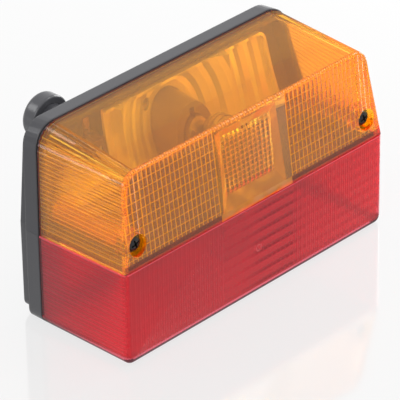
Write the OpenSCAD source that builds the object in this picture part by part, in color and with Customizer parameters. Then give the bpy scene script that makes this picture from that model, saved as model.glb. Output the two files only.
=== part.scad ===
// Two-colour rear lamp for a trailer or tractor: a black moulded housing with a seal and a divider, two
// metallised reflectors, two bayonet bulbs in plastic holders with their contact strips and terminals,
// and an amber and a red lens moulding welded along one line and held by two long screws.
// x runs to the right seen from the front, y runs back to the panel that the lamp is fixed to, and z is up.
// y = 0 is the mounting face and z = 0 is the line between the two colours.

/* [Outline] */
// Width over the red half at the seam
lamp_w = 160; // [150:1:175]
// Height of the red half below the colour line
red_h = 43.7; // [42:0.1:48]
// Height of the amber half, measured up its leaning face
amber_h = 46.5; // [45:0.1:50]
// Angle by which the amber half leans back
lean_deg = 6.8; // [4:0.1:6.8]
// Angle by which each end of the amber half leans in
taper_deg = 7.2; // [3:0.1:7.5]
// Corner radius at the top of the outline
top_r = 11; // [9:0.5:13]
// Corner radius at the foot of the outline
foot_r = 5.5; // [5:0.1:7]

/* [Housing] */
// Thickness of the plinth behind the rim
plinth_t = 5.5; // [5.5:0.1:7]
// Step in from the rim to the plinth
plinth_in = 2.5; // [1.5:0.1:3.5]
// Depth of the rim
rim_d = 7.5; // [7:0.1:9]
// Thickness of the floor
floor_t = 3; // [2.5:0.1:3.4]
// Thickness of the moulded walls
wall_t = 2.2; // [1.8:0.1:2.6]
// Width of the lip outside the seal groove
lip_w = 0.9; // [0.7:0.1:1.2]
// Width of the seal groove
groove_w = 2.8; // [2.4:0.1:3.2]
// Depth of the seal groove
groove_d = 2; // [1.5:0.1:2.5]
// Thickness of the fence inside the seal
fence_t = 2; // [1.6:0.1:2.4]
// Height of the fence in front of the rim
fence_h = 3; // [2:0.1:4]
// Depth from the rim face to the ledge inside the fence
ledge_d = 4; // [3:0.1:4]
// Width of the ledge between the fence and the reflector at each end
ledge_w = 10.3; // [10:0.1:12]
// Thickness of the divider between the two compartments
web_t = 2.2; // [1.6:0.1:2.8]
// Distance of each fixing hole in from the end of the lamp
fix_in = 38; // [37:0.5:39]
// Height of the fixing holes above the stop and tail bulb
fix_up = 11.5; // [11.5:0.1:12.5]
// Diameter of a fixing hole
fix_d = 5.5; // [5:0.1:6.5]
// Diameter of the boss around a fixing hole
fix_boss_d = 12; // [11:0.1:12.4]
// Height of that boss above the floor
fix_boss_h = 3; // [2:0.1:4]

/* [Lens] */
// Depth of the red lens from the seal to its front face
lens_d = 48.2; // [46:0.1:52]
// Wall of both lens mouldings
lens_t = 2.4; // [2:0.1:2.8]
// How much the red lens stands proud of the amber one
proud = 0.4; // [0:0.1:0.8]
// How far each end comes in from the seam to the front
end_draft = 1.6; // [0.5:0.1:2.5]
// How far the top comes down from the seam to the front
top_drop = 3.9; // [1:0.1:5]
// Radius of the top corners at the front face
front_top_r = 7; // [6:0.1:9]
// Radius of the foot corners at the front face
front_foot_r = 4; // [3.5:0.1:5]
// Radius of the edges round the front face
front_edge_r = 2.5; // [1.5:0.1:3]
// Pitch of the ribs on the end faces
rib_pitch = 1.35; // [1.2:0.05:2]
// Height of those ribs
rib_h = 0.2; // [0.1:0.05:0.3]
// Pitch of the flutes down the amber front
flute_pitch = 2.54; // [2:0.02:3.5]
// Width of the valley between two flutes
valley_w = 0.8; // [0.5:0.05:1]
// Depth of that valley
valley_d = 0.3; // [0.15:0.05:0.4]
// Pitch of the cross lines inside the amber front
cross_pitch = 4.05; // [3:0.05:6]
// Pitch of the ribs inside the red front
bar_pitch = 5; // [4:0.1:7]
// Plain border at the foot and ends of the amber front
border = 2.4; // [1.5:0.1:3.5]
// Width of the smooth middle zone of the amber front
zone_w = 39; // [34:1:44]
// Width of the face of the optic pad
pad_w = 28; // [22:1:30]
// Height of the face of the optic pad
pad_h = 26.5; // [20:0.5:28]
// How far the optic pad stands in from the front wall
pad_t = 3.2; // [1.5:0.1:3.5]
// Diameter of the gate mark on the red front
gate_d = 3; // [2:0.1:4]

/* [Lens screws] */
// Distance of each lens screw in from the end of the lamp
screw_in = 10.6; // [10.2:0.1:11]
// Height of the lens screws above the colour line
screw_z = 10; // [9.5:0.1:12]
// Diameter of the screw head
head_d = 6.8; // [6:0.1:7.4]
// Height of the screw head
head_h = 2.2; // [1.8:0.1:2.6]
// Diameter of the screw shank
shank_d = 3.4; // [3:0.1:3.8]
// Depth of thread in the housing boss
bite = 9; // [6:0.5:9]
// Diameter of the counterbore round the head
sink_d = 9.7; // [9.2:0.1:10.2]
// Depth from the amber front to the floor of the counterbore
sink_depth = 4.2; // [3.4:0.1:5]
// Thickness of the sealing washer
washer_t = 0.8; // [0.5:0.1:1]
// Diameter of the sealing washer
washer_d = 8.6; // [8:0.1:9]
// Diameter of the housing boss under each screw
boss_d = 9; // [8:0.1:9]

/* [Bulbs] */
// Distance from the top of the amber half down to the indicator bulb
bulb_in = 24; // [23.7:0.1:24.2]
// Distance from the foot of the red half up to the stop and tail bulb
bulb_rise = 22.2; // [22:0.1:22.4]
// Diameter of the bulb glass
globe_d = 25; // [22:0.5:26.5]
// Diameter of the bayonet cap
cap_d = 15; // [14.8:0.1:15.2]
// Length of the bayonet cap
cap_h = 16; // [14:0.5:17]
// Length of the glass in front of the cap
glass_h = 28; // [26:0.5:30]
// Outside diameter of the bulb holder
holder_d = 22.5; // [21:0.1:23]
// Height of the bulb holder in front of its pad
holder_h = 17.8; // [16:0.1:19]
// Diameter of the holder flange
flange_d = 26; // [25:0.1:26]
// Thickness of the holder flange
flange_t = 1.5; // [1.2:0.1:2]
// Distance of the flange screws from the bulb axis
ear_r = 15.5; // [15.3:0.1:15.6]

/* [Strips and terminals] */
// Width of the brass strips
strip_w = 3.2; // [2.6:0.1:3.2]
// Thickness of the brass strips
strip_t = 0.6; // [0.4:0.05:0.8]
// Width of the terminal block
block_w = 18; // [17.6:0.1:18.4]
// Height of the terminal block, up the lamp
block_h = 7; // [6.4:0.1:7.2]
// Thickness of the terminal block
block_t = 7; // [6:0.1:8]
// Distance of the middle of the terminal block in from the left end
block_in = 31.5; // [31.2:0.1:31.7]
// Height of the foot of the terminal block above the indicator bulb
block_up = 0; // [0:0.1:0.3]
// Pitch of the terminals
terminal_pitch = 4.3; // [4.2:0.05:4.4]

/* [Cable entry] */
// Distance of the cable entry in from the left end
entry_in = 29; // [28:0.1:30]
// Height of the cable entry above the indicator bulb
entry_up = 12.5; // [12.1:0.1:12.5]
// Bore of the spigot on the back
spigot_bore = 9; // [8:0.1:9]
// Wall of the spigot
spigot_wall = 2.5; // [2:0.1:3]
// Length of the spigot behind the mounting face
spigot_h = 11; // [9:0.1:13]
// Outside diameter of the rubber grommet
grommet_d = 20.5; // [19.5:0.1:22]
// Length of the rubber grommet
grommet_h = 7.7; // [6.5:0.1:9]
// Thickness of the closed end of the grommet
grommet_end = 4; // [3:0.1:4.5]
// Diameter of the cable hole in the grommet
cable_d = 6; // [4:0.1:7]

/* [Reflectors] */
// Thickness of the reflector mouldings
refl_t = 1.2; // [1:0.1:1.5]
// Half width of the curved middle of each reflector
bowl_half = 32.4; // [31:0.1:34]
// Rise of the curved middle from the bulb to its edge
bowl_rise = 7.6; // [5:0.1:9]
// Height of the lip round each reflector
refl_lip = 2; // [1:0.1:3]

/* [Hidden] */

// Fits and small gaps
slip = 0.1;
loose = 0.4;
seal_gap = 0.6;
eps = 0.01;
over = 1;
// Smoothness of the true curves and of the moulded corners
$fn = 48;
corner_n = 7;
edge_n = 4;

// Places across and up the lamp, worked in from its outline
half_w = lamp_w / 2;
screw_x = half_w - screw_in;
fix_x = half_w - fix_in;
block_x = half_w - block_in;
entry_x = half_w - entry_in;
bulb_up = amber_h - bulb_in;
bulb_down = red_h - bulb_rise;
fix_drop = bulb_down - fix_up;
block_z = bulb_up + block_up;
entry_z = bulb_up + entry_up;

// Places along the depth of the lamp
rim_y = -(plinth_t + rim_d);
lens_y = rim_y - seal_gap;
front_y = lens_y - lens_d;
amber_front_y = front_y + proud;
pad_y = -floor_t - strip_t - seal_gap;
bulb_y = pad_y - 2.8;
cap_y = bulb_y - 1;
fence_in = lip_w + groove_w + fence_t;
refl_in = fence_in + ledge_w;
web_front_y = amber_front_y + lens_t + seal_gap;

// Lens screws, worked back from the amber front where it leans past the screw
screw_front_y = amber_front_y + screw_z * tan(lean_deg);
sink_y = screw_front_y + sink_depth;
boss_y = rim_y - fence_h;
pillar_end_y = boss_y - loose;
head_y = sink_y - washer_t;
pilot_d = shank_d - 0.3;
tip_y = boss_y + bite;
collar_d = sink_d + lens_t;
pillar_d = boss_d - 0.6;

// Cable entry
spigot_d = spigot_bore + 2 * spigot_wall;
grommet_y = spigot_h + grommet_end - grommet_h;

// Holder, bulb and pad sizes that follow each other
holder_bore = cap_d + 0.6;
pad_bore = holder_bore + 2.4;
ear_deg = 38;
ear_x = ear_r * cos(ear_deg);
ear_z = ear_r * sin(ear_deg);
ear_w = 5.6;
ear_screw_d = 2.2;
ear_head_d = 4;
ear_head_h = 1.4;
ear_tip_y = -1.3;
head_clear_d = ear_head_d + 2 * loose;
neck_d = cap_d - 2.6;
glass_t = 0.7;
pin_d = 2;
cap_seat = 4;
contact_d = 3;
coil_d = 1;
coil_l = 4.4;
coil_gap = 1.6;
coil_back = 3;
support_d = 0.7;
support_gap = 1.8;
stem_d = 5;
stem_l = 10;

// Strip ends, terminals and their screws
leaf_w = 5;
finger_h = 3;
earth_way = 4;
wire_hole_d = 2.4;
terminal_well_d = 2.8;
terminal_screw_d = 2.6;
terminal_sunk = 0.6;
slot_w = 0.6;
slot_h = 1.2;

// Corners of the reflector well and of the channel behind it
well_r = 5;
channel_r = 7;
channel_gap = 0.5;

// Strip runs: where each terminal stands and how far its strip goes
function terminal_x(i) = -block_x + (i - 1.5) * terminal_pitch;
run_z = block_z - strip_w / 2 - 0.2;
bus_z = bulb_up + flange_d / 2 + strip_w / 2 + 0.1;
bus_x = 22;
contact_gap = 3;

// Points on an arc from angle a0 to a1
function arc(cx, cy, r, a0, a1, n) =
    [for (i = [0:n]) let(a = a0 + (a1 - a0) * i / n) [cx + r * cos(a), cy + r * sin(a)]];

// The list with its mirror image in x added, so that it closes on itself
function both_sides(pts) =
    concat(pts, [for (i = [len(pts) - 1:-1:0]) [-pts[i][0], pts[i][1]]]);

// Upper outline: ends that lean in by the angle phi, a flat top and round corners
function crown_corner(w, h, r, phi) = w - (r + (h - r) * sin(phi)) / cos(phi);
function crown(w, h, r, phi, low = 0) =
    both_sides(concat([[w - low * tan(phi), low]],
        arc(crown_corner(w, h, r, phi), h - r, r, phi, 90, corner_n)));

// Lower outline: upright ends, a flat foot and round corners
function foot(w, h, r, high = 0) =
    both_sides(concat([[w, high]], arc(w - r, r - h, r, 0, -90, corner_n)));

// The two outlines of the lamp moved in by a distance
function crown_in(d, low = 0) =
    crown(half_w - d / cos(taper_deg), amber_h - d, max(top_r - d, 1), taper_deg, low);
function foot_in(d, high = 0) = foot(half_w - d, red_h - d, max(foot_r - d, 1), high);

// The reflector well, an upright outline in each half
function well_top(d, low) =
    crown(half_w - refl_in - d, (amber_h - fence_in) * cos(lean_deg) - wall_t / 2 - d,
        well_r - d, taper_deg, low);
function well_foot(d, high) =
    foot(half_w - refl_in - d, red_h - fence_in - wall_t / 2 - d, well_r - d, high);

// Takes a drawing in x and z and gives it depth from one y to another
module slab(front, back) {
    translate([0, back, 0])
        rotate([90, 0, 0])
            linear_extrude(back - front)
                children();
}

// Leans its children back about the colour line at the given depth
module leaned(y) {
    translate([0, y, 0])
        rotate([-lean_deg, 0, 0])
            children();
}

// A rod along y at the place x, z
module rod(x, z, front, back, d) {
    translate([x, back, z])
        rotate([90, 0, 0])
            cylinder(d = d, h = back - front);
}

// A rod at each of the two ears of a bulb holder
module ear_rods(z, front, back, d) {
    for (side = [-1, 1])
        rod(side * ear_x, z - side * ear_z, front, back, d);
}

// A turned shape whose profile is drawn as radius and distance in front of y
module turned(x, z, y) {
    translate([x, y, z])
        rotate([90, 0, 0])
            rotate_extrude()
                children();
}

// Sum of a list of points, and the way that a closed outline turns
function total(v) = [for (i = [1:len(v)]) 1] * v;
function turning(s) = total([for (i = [0:len(s) - 1]) cross(s[i], s[(i + 1) % len(s)])]);

// Skin over sections that have as many points each, whichever way they turn
module loft(sections) {
    n = len(sections[0]);
    m = len(sections);
    travel = total(sections[m - 1]) - total(sections[0]);
    clockwise = turning(sections[0]) * travel < 0;
    ordered = clockwise ? sections : [for (s = sections) [for (i = [n - 1:-1:0]) s[i]]];
    polyhedron(
        points = [for (s = ordered) each s],
        faces = concat(
            [[for (i = [n - 1:-1:0]) i]],
            [for (k = [0:m - 2], i = [0:n - 1])
                let(a = k * n + i, b = k * n + (i + 1) % n) [a, b, b + n]],
            [for (k = [0:m - 2], i = [0:n - 1])
                let(a = k * n + i, b = k * n + (i + 1) % n) [a, b + n, a + n]],
            [[for (i = [0:n - 1]) (m - 1) * n + i]]));
}

// Ring between two outlines, open at the colour line
module crown_ring(out_in, in_in, low) {
    difference() {
        polygon(crown_in(out_in, low));
        polygon(crown_in(in_in, low - over));
    }
}

module foot_ring(out_in, in_in) {
    difference() {
        polygon(foot_in(out_in));
        polygon(foot_in(in_in, over));
    }
}

// Outline of the plinth: it follows the rim with a step that closes towards the top
module plinth_outline() {
    polygon(crown(half_w - plinth_in, (amber_h - 1) * cos(lean_deg), top_r - 1, taper_deg - 2));
    polygon(foot(half_w - plinth_in, red_h - plinth_in, foot_r - 1.5, over));
}

// Outer form of the housing before it is hollowed
module housing_block() {
    slab(-plinth_t - over, 0)
        plinth_outline();
    slab(rim_y, -plinth_t)
        polygon(foot_in(0));
    leaned(rim_y)
        slab(0, rim_d)
            polygon(crown(half_w - slip / 2, amber_h, top_r, taper_deg));
}

// The fence that the seal lies round: the front hollow trims its inner side
module fence() {
    slab(boss_y, rim_y + over)
        foot_ring(lip_w + groove_w, fence_in + over);
    leaned(rim_y)
        slab(-fence_h, over)
            crown_ring(lip_w + groove_w, fence_in + over, -0.5);
}

// Everything that is open from the front: seal groove, ledge and reflector wells
module front_hollows() {
    slab(rim_y - over, rim_y + groove_d)
        foot_ring(lip_w, lip_w + groove_w);
    leaned(rim_y)
        slab(-over, groove_d)
            crown_ring(lip_w, lip_w + groove_w, -0.2);
    slab(boss_y - over, rim_y + ledge_d)
        polygon(foot_in(fence_in, 0.1));
    leaned(rim_y)
        slab(-fence_h - over, ledge_d)
            polygon(crown_in(fence_in, -0.3));
    slab(boss_y - over, -floor_t)
        polygon(well_top(0, 0));
    slab(boss_y - over, -floor_t)
        polygon(well_foot(0, 0.1));
}

// Channel behind the ledge that keeps the moulding to an even wall
module back_channel() {
    slab(rim_y + ledge_d + wall_t, over)
        difference() {
            polygon(foot(half_w - plinth_in - wall_t, red_h - plinth_in - wall_t, foot_r - 2, 0));
            polygon(well_foot(-wall_t, over));
        }
    leaned(rim_y)
        slab(ledge_d + wall_t, rim_d + 2 * plinth_t)
            difference() {
                polygon(crown_in(plinth_in + wall_t));
                polygon(crown(half_w - refl_in + wall_t + channel_gap, amber_h - fence_in + wall_t,
                    channel_r, taper_deg, -over));
            }
}

// Bosses, posts, pads and the divider that stand on the floor
module floor_fittings() {
    for (side = [-1, 1]) {
        rod(side * screw_x, screw_z, boss_y, -floor_t + eps, boss_d);
        rod(side * fix_x, -fix_drop, -floor_t - fix_boss_h, -floor_t + eps, fix_boss_d);
        rod(side * fix_x, -red_h + refl_in - 2, wing_back_y, -floor_t + eps, ear_w);
        rod(side * fix_x, web_t + ear_w, wing_back_y, -floor_t + eps, ear_w);
    }
    holder_pad(bulb_up);
    holder_pad(-bulb_down);
    slab(web_front_y, -floor_t + eps)
        square([2 * (half_w - fence_in + fence_t / 3), web_t], center = true);
    rod(-entry_x, entry_z, -floor_t + eps, spigot_h, spigot_d);
}

// Raised ring and ears that a bulb holder is screwed to
module holder_pad(z) {
    difference() {
        union() {
            rod(0, z, pad_y, -floor_t + eps, flange_d);
            ear_rods(z, pad_y, -floor_t + eps, ear_w);
        }
        rod(0, z, pad_y - over, -floor_t, pad_bore);
    }
}

// Slots that let the strips through the pads and under the divider
module strip_ways() {
    clear = 2 * slip;
    slab(pad_y - over, -floor_t) {
        translate([-flange_d, bulb_up - flange_d / 2])
            square([flange_d, flange_d / 2 + strip_w]);
        translate([0, bulb_up - strip_w / 2 - clear])
            square([flange_d, strip_w + 2 * clear]);
        translate([-flange_d, -bulb_down - contact_gap - strip_w / 2 - clear])
            square([flange_d, 2 * contact_gap + strip_w + 2 * clear]);
        translate([0, -bulb_down - strip_w / 2 - clear])
            square([flange_d, strip_w + 2 * clear]);
    }
    slab(pad_y, -floor_t) {
        translate([terminal_x(0) - strip_w / 2 - clear, -web_t])
            square([terminal_pitch + strip_w + 2 * clear, 2 * web_t]);
        translate([bus_x - strip_w / 2 - clear, -web_t])
            square([strip_w + 2 * clear, 2 * web_t]);
    }
}

// Screw holes, fixing holes and the cable way
module housing_holes() {
    for (side = [-1, 1]) {
        rod(side * screw_x, screw_z, boss_y - over, tip_y + 0.5, pilot_d + 2 * slip);
        rod(side * fix_x, -fix_drop, -floor_t - fix_boss_h - over, over, fix_d);
    }
    for (z = [bulb_up, -bulb_down])
        ear_rods(z, pad_y - over, -1, ear_screw_d + 2 * slip);
    rod(-entry_x, entry_z, -floor_t - over, spigot_h + over, spigot_bore);
}

module housing() {
    color("#26282b")
        difference() {
            union() {
                difference() {
                    union() {
                        housing_block();
                        fence();
                    }
                    front_hollows();
                    back_channel();
                }
                floor_fittings();
            }
            strip_ways();
            housing_holes();
        }
}

// Rubber cord that fills the groove and carries the edge of both lenses
module lens_seal() {
    color("#17181a") {
        slab(lens_y, rim_y + groove_d)
            foot_ring(lip_w + slip, lip_w + groove_w - slip);
        leaned(rim_y)
            slab(-seal_gap * cos(lean_deg), groove_d)
                crown_ring(lip_w + slip, lip_w + groove_w - slip, -0.05);
    }
}

// Reflectors: the wings are flat, the middle is a shallow bowl and its edge a step
wing_front_y = pad_y - flange_t - refl_t - 2.1;
wing_back_y = wing_front_y + refl_t;
bowl_y = pad_y - flange_t - refl_t - 0.2;

function bowl_front(x) = bowl_y - bowl_rise * pow(x / bowl_half, 2);
function bowl_pts(back) = [for (i = [-12:12]) let(x = bowl_half * i / 12) [x, bowl_front(x) + back]];

module reflector_sheet() {
    wing_x = half_w;
    polygon(concat(
        [[-wing_x, wing_front_y], [-bowl_half - refl_t, wing_front_y]],
        bowl_pts(0),
        [[bowl_half + refl_t, wing_front_y], [wing_x, wing_front_y]],
        [[wing_x, wing_back_y], [bowl_half, wing_back_y]],
        [for (p = [for (i = [11:-1:-11]) bowl_half * i / 12]) [p, bowl_front(p) + refl_t]],
        [[-bowl_half, wing_back_y], [-wing_x, wing_back_y]]));
}

// A reflector from z0 up to z1, cut to the outline that its children draw, with a lip round it
module reflector(z0, z1) {
    intersection() {
        translate([0, 0, z0])
            linear_extrude(z1 - z0)
                reflector_sheet();
        slab(-half_w, 0)
            children(0);
    }
    slab(wing_front_y - refl_lip, wing_back_y - 0.2)
        difference() {
            children(0);
            children(1);
        }
}

refl_low = web_t / 2 + 0.3;

module indicator_reflector() {
    well_h = (amber_h - fence_in) * cos(lean_deg);
    color("#c9cbd0")
        difference() {
            reflector(refl_low, well_h) {
                polygon(well_top(slip * 3, refl_low));
                polygon(well_top(slip * 3 + refl_t, refl_low + refl_t));
            }
            rod(0, bulb_up, front_y, 0, holder_d + 2 * loose);
            ear_rods(bulb_up, front_y, 0, head_clear_d);
            translate([-half_w, -half_w, block_z - 2])
                cube([half_w - block_x + block_w / 2 + 2, lamp_w, amber_h]);
        }
}

module stop_tail_reflector() {
    color("#c9cbd0")
        difference() {
            reflector(-red_h, -refl_low) {
                polygon(well_foot(slip * 3, -refl_low));
                polygon(well_foot(slip * 3 + refl_t, -refl_low - refl_t));
            }
            rod(0, -bulb_down, front_y, 0, holder_d + 2 * loose);
            ear_rods(-bulb_down, front_y, 0, head_clear_d);
            for (side = [-1, 1])
                rod(side * fix_x, -fix_drop, front_y, 0, fix_boss_d + 2 * loose);
        }
}

// A flat outline placed in the lamp at depth y, leaning for the amber half
function stand(pts, y, lean) = [for (p = pts) [p[0], y + p[1] * sin(lean), p[1] * cos(lean)]];

// Outline of a lens at the depth y, moved in by inset
function lens_outline(y, inset, amber, past) =
    let(t = (lens_y - y) / lens_d)
    amber
        ? stand(crown(half_w - proud - end_draft * t - inset / cos(taper_deg),
            amber_h - proud - top_drop * t - inset,
            max(top_r + (front_top_r - top_r) * t - inset, 1), taper_deg, -past), y, lean_deg)
        : stand(foot(half_w - end_draft * t - inset, red_h - inset,
            max(foot_r + (front_foot_r - foot_r) * t - inset, 1), past), y, 0);

// Outer form of a lens: the seam section, then the rounded edge round the front face
module lens_form(front, amber) {
    loft(concat([lens_outline(lens_y, 0, amber, 0)],
        [for (k = [0:edge_n]) let(a = 90 * k / edge_n)
            lens_outline(front + front_edge_r * (1 - sin(a)), front_edge_r * (1 - cos(a)), amber, 0)]));
}

// Hollow inside a lens, open at the back and along the colour line
module lens_hollow(inner, amber) {
    loft([lens_outline(lens_y + over, lens_t, amber, over), lens_outline(inner + 1, lens_t, amber, over),
        lens_outline(inner, lens_t + 0.8, amber, over)]);
}

// Cutter for a row of n valleys: they follow each other along x, are cut towards +y and run up z
module row_cutter(n, pitch, width, depth, length) {
    linear_extrude(length)
        polygon(concat(
            [for (i = [0:n - 1], k = [-1, 0, 1]) [i * pitch + k * width / 2, k == 0 ? depth : -0.1]],
            [[(n - 1) * pitch + width, -1], [-width, -1]]));
}

// Rigid frame at a point of a surface: z goes along, y goes into the wall and x follows from them
module at_wall(origin, along, inward) {
    z = along / norm(along);
    flat = inward - (inward * z) * z;
    y = flat / norm(flat);
    x = cross(y, z);
    multmatrix([for (i = [0:2]) [x[i], y[i], z[i], origin[i]]])
        children();
}

// Up the leaning amber face, and into it
amber_up = [0, sin(lean_deg), cos(lean_deg)];
amber_in = [0, cos(lean_deg), -sin(lean_deg)];

// Valleys between the flutes of the amber front, on both sides of the smooth zone
module amber_flutes() {
    first = zone_w / 2 + border;
    n = floor((half_w - end_draft - 2 * border - first) / flute_pitch) + 1;
    for (m = [0, 1])
        mirror([m, 0, 0])
            at_wall([first, amber_front_y, 0] + amber_up * border, amber_up, amber_in)
                row_cutter(n, flute_pitch, valley_w, valley_d, amber_h);
}

// Fine flutes of the red front, on both sides of its smooth zone
module red_flutes() {
    first = zone_w / 2 + border;
    n = floor((half_w - end_draft - 2.5 * border - first) / rib_pitch) + 1;
    for (m = [0, 1])
        mirror([m, 0, 0])
            at_wall([first, front_y, -red_h + border + front_edge_r], [0, 0, 1], [0, 1, 0])
                row_cutter(n, rib_pitch, rib_pitch / 2, rib_h, red_h - 2 * border - front_edge_r);
}

// Ribs along the two ends of a lens, between the seam and the rounded edge
module end_ribs(amber) {
    low = amber ? border : foot_r + border - red_h;
    high = amber ? amber_h - top_r - border : -border;
    n = floor((high - low) / rib_pitch) + 1;
    up = amber ? [-tan(taper_deg), sin(lean_deg), cos(lean_deg)] : [0, 0, 1];
    forward = [-end_draft, -lens_d, 0];
    for (m = [0, 1])
        mirror([m, 0, 0])
            at_wall([half_w - (amber ? proud : 0), lens_y, 0] + up * low + forward * 0.05,
                forward, cross(forward, up))
                row_cutter(n, rib_pitch, rib_pitch / 2, rib_h, lens_d * 0.88);
}

// Optic in front of the indicator bulb: a bevelled pad inside the smooth zone, cross-cut on its face
module optic_pad() {
    y = amber_front_y + (lens_t - 0.3) / cos(lean_deg);
    mid = (amber_h - top_drop) / 2;
    top = amber_h - proud - top_drop - lens_t - 0.4;
    shrink = top * tan(taper_deg) / 2;
    low = mid - pad_h / 2;
    high = mid + pad_h / 2;
    valleys = floor(pad_w / flute_pitch) - 1;
    rows = floor(pad_h / cross_pitch) - 1;
    face = [0, y + pad_t, 0];
    difference() {
        loft([
            stand([[pad_w / 2, low], [pad_w / 2, high], [-pad_w / 2, high], [-pad_w / 2, low]],
                y + pad_t, lean_deg),
            stand([[zone_w / 2, 0.2], [zone_w / 2 - shrink, top], [shrink - zone_w / 2, top],
                [-zone_w / 2, 0.2]],
                y, lean_deg)]);
        at_wall(face + [(valleys - 1) / 2 * flute_pitch, 0, 0] + amber_up * (low - over), amber_up, -amber_in)
            row_cutter(valleys, flute_pitch, 2 * valley_w, 2 * valley_d, pad_h + 2 * over);
        at_wall(face - [pad_w / 2 + over, 0, 0] + amber_up * (mid - (rows - 1) / 2 * cross_pitch),
            [1, 0, 0], -amber_in)
            row_cutter(rows, cross_pitch, 2 * valley_w, 1.6 * valley_d, pad_w + 2 * over);
    }
}

module amber_lens() {
    inner_y = amber_front_y + lens_t;
    reach = half_w - lens_t - end_draft - 3 * border;
    rows = floor((amber_h - top_drop - 4 * border) / cross_pitch);
    collar_y = amber_front_y + (screw_z + collar_d / 2) * tan(lean_deg) + 0.4;
    color("#e8963a", 0.75)
        difference() {
            union() {
                difference() {
                    lens_form(amber_front_y, true);
                    lens_hollow(inner_y, true);
                    at_wall([-reach, inner_y, 0] + amber_up * 2 * border, [1, 0, 0], -amber_in)
                        row_cutter(rows, cross_pitch, valley_w, valley_d, 2 * reach);
                }
                optic_pad();
                for (side = [-1, 1]) {
                    rod(side * screw_x, screw_z, collar_y, sink_y + lens_t, collar_d);
                    rod(side * screw_x, screw_z, sink_y, pillar_end_y, pillar_d);
                }
            }
            amber_flutes();
            end_ribs(true);
            for (side = [-1, 1]) {
                rod(side * screw_x, screw_z, front_y - over, sink_y, sink_d);
                rod(side * screw_x, screw_z, front_y, rim_y, shank_d + 2 * loose);
            }
        }
}

module red_lens() {
    inner_y = front_y + lens_t;
    reach = half_w - lens_t - end_draft - 3 * border;
    rows = floor((red_h - 4 * border) / bar_pitch) + 1;
    color("#c8283a", 0.85)
        difference() {
            lens_form(front_y, false);
            lens_hollow(inner_y, false);
            at_wall([-reach, inner_y, -red_h + 2 * border], [1, 0, 0], [0, -1, 0])
                row_cutter(rows, bar_pitch, 2 * valley_w, 2 * valley_d, 2 * reach);
            red_flutes();
            end_ribs(false);
            rod(0, -red_h / 2, front_y - over, front_y + 0.25, gate_d);
        }
}

// Pan head with a cross recess, and a long plain shank with a point
module lens_screw(side) {
    color("#1d1e20")
        translate([side * screw_x, head_y, screw_z])
            rotate([90, 0, 0])
                difference() {
                    rotate_extrude()
                        polygon(concat([[0, head_y - tip_y], [pilot_d / 2, head_y - tip_y + 1.5],
                            [pilot_d / 2, head_y - boss_y], [shank_d / 2, head_y - boss_y + 1],
                            [shank_d / 2, 0], [head_d / 2, 0], [head_d / 2, head_h * 0.45]],
                            [for (i = [1:6]) let(a = 90 * i / 6)
                                [head_d / 2 * cos(a), head_h * (0.45 + 0.55 * sin(a))]]));
                    for (a = [0, 90])
                        rotate([0, 0, a + 20])
                            translate([-head_d * 0.3, -0.45, head_h - 1.3])
                                cube([head_d * 0.6, 0.9, head_h]);
                }
}

module lens_screw_left() {
    lens_screw(-1);
}

module lens_screw_right() {
    lens_screw(1);
}

module screw_washer(side) {
    color("#141414")
        difference() {
            rod(side * screw_x, screw_z, head_y, sink_y, washer_d);
            rod(side * screw_x, screw_z, head_y - over, sink_y + over, shank_d + 3 * slip);
        }
}

module screw_washer_left() {
    screw_washer(-1);
}

module screw_washer_right() {
    screw_washer(1);
}

// Bulb holder: flange with two ears, body, bore, two bayonet slots and a way for the earth finger
module bulb_holder(z) {
    front = pad_y - holder_h;
    slot_y = cap_y - cap_h * 0.55;
    color("#2b2c2e")
        difference() {
            union() {
                rod(0, z, pad_y - flange_t, pad_y, flange_d);
                rod(0, z, front, pad_y, holder_d);
                ear_rods(z, pad_y - flange_t, pad_y, ear_w);
            }
            rod(0, z, front - over, over, holder_bore);
            ear_rods(z, front, over, ear_screw_d + 2 * slip);
            for (side = [-1, 1])
                translate([-pin_d / 2 - loose, front - over,
                    z + (side > 0 ? 0 : -holder_bore / 2 - 1.8)])
                    cube([pin_d + 2 * loose, slot_y + pin_d / 2 + loose - front + over,
                        holder_bore / 2 + 1.8]);
            translate([0, cap_y - earth_way, z - strip_w / 2 - 2 * slip])
                cube([flange_d, pad_y - cap_y + earth_way + over, strip_w + 4 * slip]);
        }
}

module indicator_holder() {
    bulb_holder(bulb_up);
}

module stop_tail_holder() {
    bulb_holder(-bulb_down);
}

// Glass: neck inside the cap, a short flare and the round end
module bulb_glass(z) {
    r = globe_d / 2;
    neck = neck_d / 2;
    start = cap_y - cap_h + cap_seat;
    seat = start - (cap_y - cap_h) + glass_h - r;
    color("#dfe6ea", 0.35)
        turned(0, z, start)
            polygon(bulb_profile(neck, r, seat));
}

// Profile of the glass wall as radius and distance
function bulb_profile(neck, r, seat) =
    let(a0 = asin((neck + 0.5) / r),
        curve = [for (i = [0:14]) let(a = a0 + (180 - a0) * i / 14) [sin(a), -cos(a)]])
    concat([[neck, 0], [neck, seat - r * cos(a0) - 1]],
        [for (c = curve) [r * c[0], seat + r * c[1]]],
        [for (i = [14:-1:0]) [(r - glass_t) * curve[i][0], seat + (r - glass_t) * curve[i][1]]],
        [[neck - glass_t, seat - r * cos(a0) - 1], [neck - glass_t, 0]]);

module indicator_bulb_glass() {
    bulb_glass(bulb_up);
}

module stop_tail_bulb_glass() {
    bulb_glass(-bulb_down);
}

// Brass cap with two pins, hollow where the glass is cemented in, and one or two contacts
module bulb_cap(z, contacts) {
    color("#c9a24a") {
        difference() {
            rod(0, z, cap_y - cap_h, cap_y, cap_d);
            rod(0, z, cap_y - cap_h - over, cap_y - cap_h + cap_seat, neck_d + 2 * slip);
        }
        for (dz = contacts)
            rod(0, z + dz, cap_y - eps, bulb_y, contact_d);
        translate([0, cap_y - cap_h * 0.55, z])
            cylinder(d = pin_d, h = cap_d + 2, center = true);
    }
}

module indicator_bulb_cap() {
    bulb_cap(bulb_up, [0]);
}

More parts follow.
